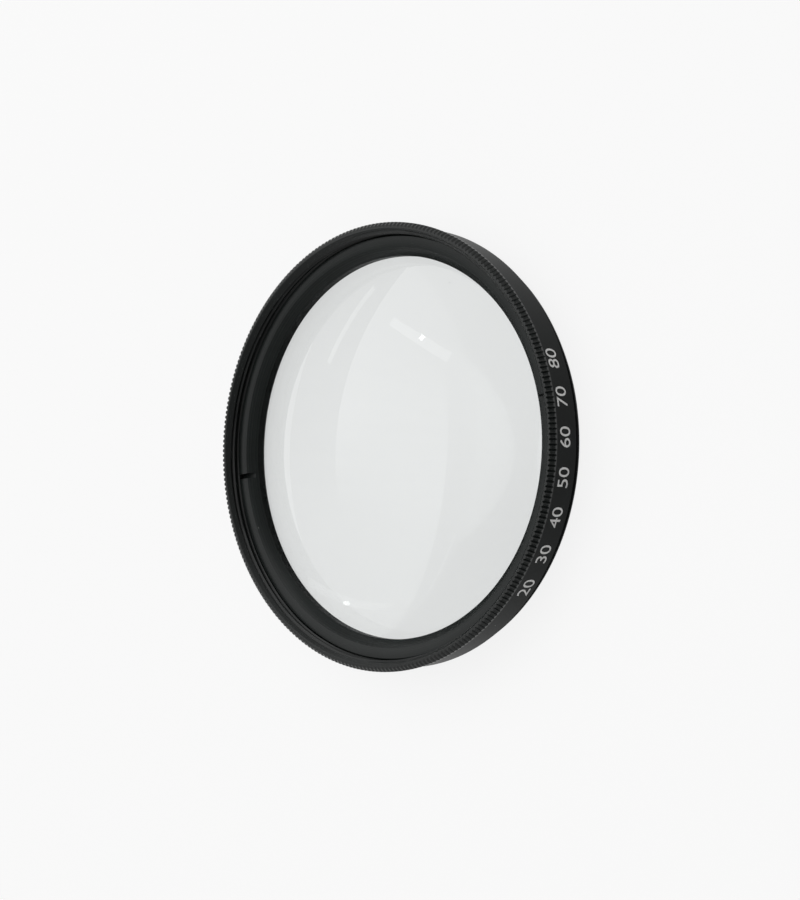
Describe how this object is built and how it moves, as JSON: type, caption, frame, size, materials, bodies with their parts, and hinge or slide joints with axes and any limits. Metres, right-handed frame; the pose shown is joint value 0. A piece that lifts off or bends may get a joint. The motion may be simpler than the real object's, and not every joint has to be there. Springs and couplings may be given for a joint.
{
  "type": "close-up lens",
  "caption": "Slim black screw-in close-up lens: knurled filter ring with front and rear threads, domed plano-convex glass and a slotted retaining ring that clamps it.",
  "frame": {"origin": "on the optical axis, in the plane of the rear thread's end", "axes": "+Z along the optical axis towards the front (subject side); +X and +Y are the picture's right and up"},
  "size_m": [0.054, 0.054, 0.0081],
  "materials": {
    "anodised_aluminium": "satin black anodised, plain band turned smooth, fine notches round the grip's front edge",
    "retainer_aluminium": "black anodised, slightly greyer than the ring, fine turning marks",
    "crown_glass": "polished clear crown glass, uncoated"
  },
  "bodies": {
    "root": {"mount_ring": "anodised_aluminium", "retaining_ring": "retainer_aluminium", "lens_element": "crown_glass"}
  },
  "joints": []
}
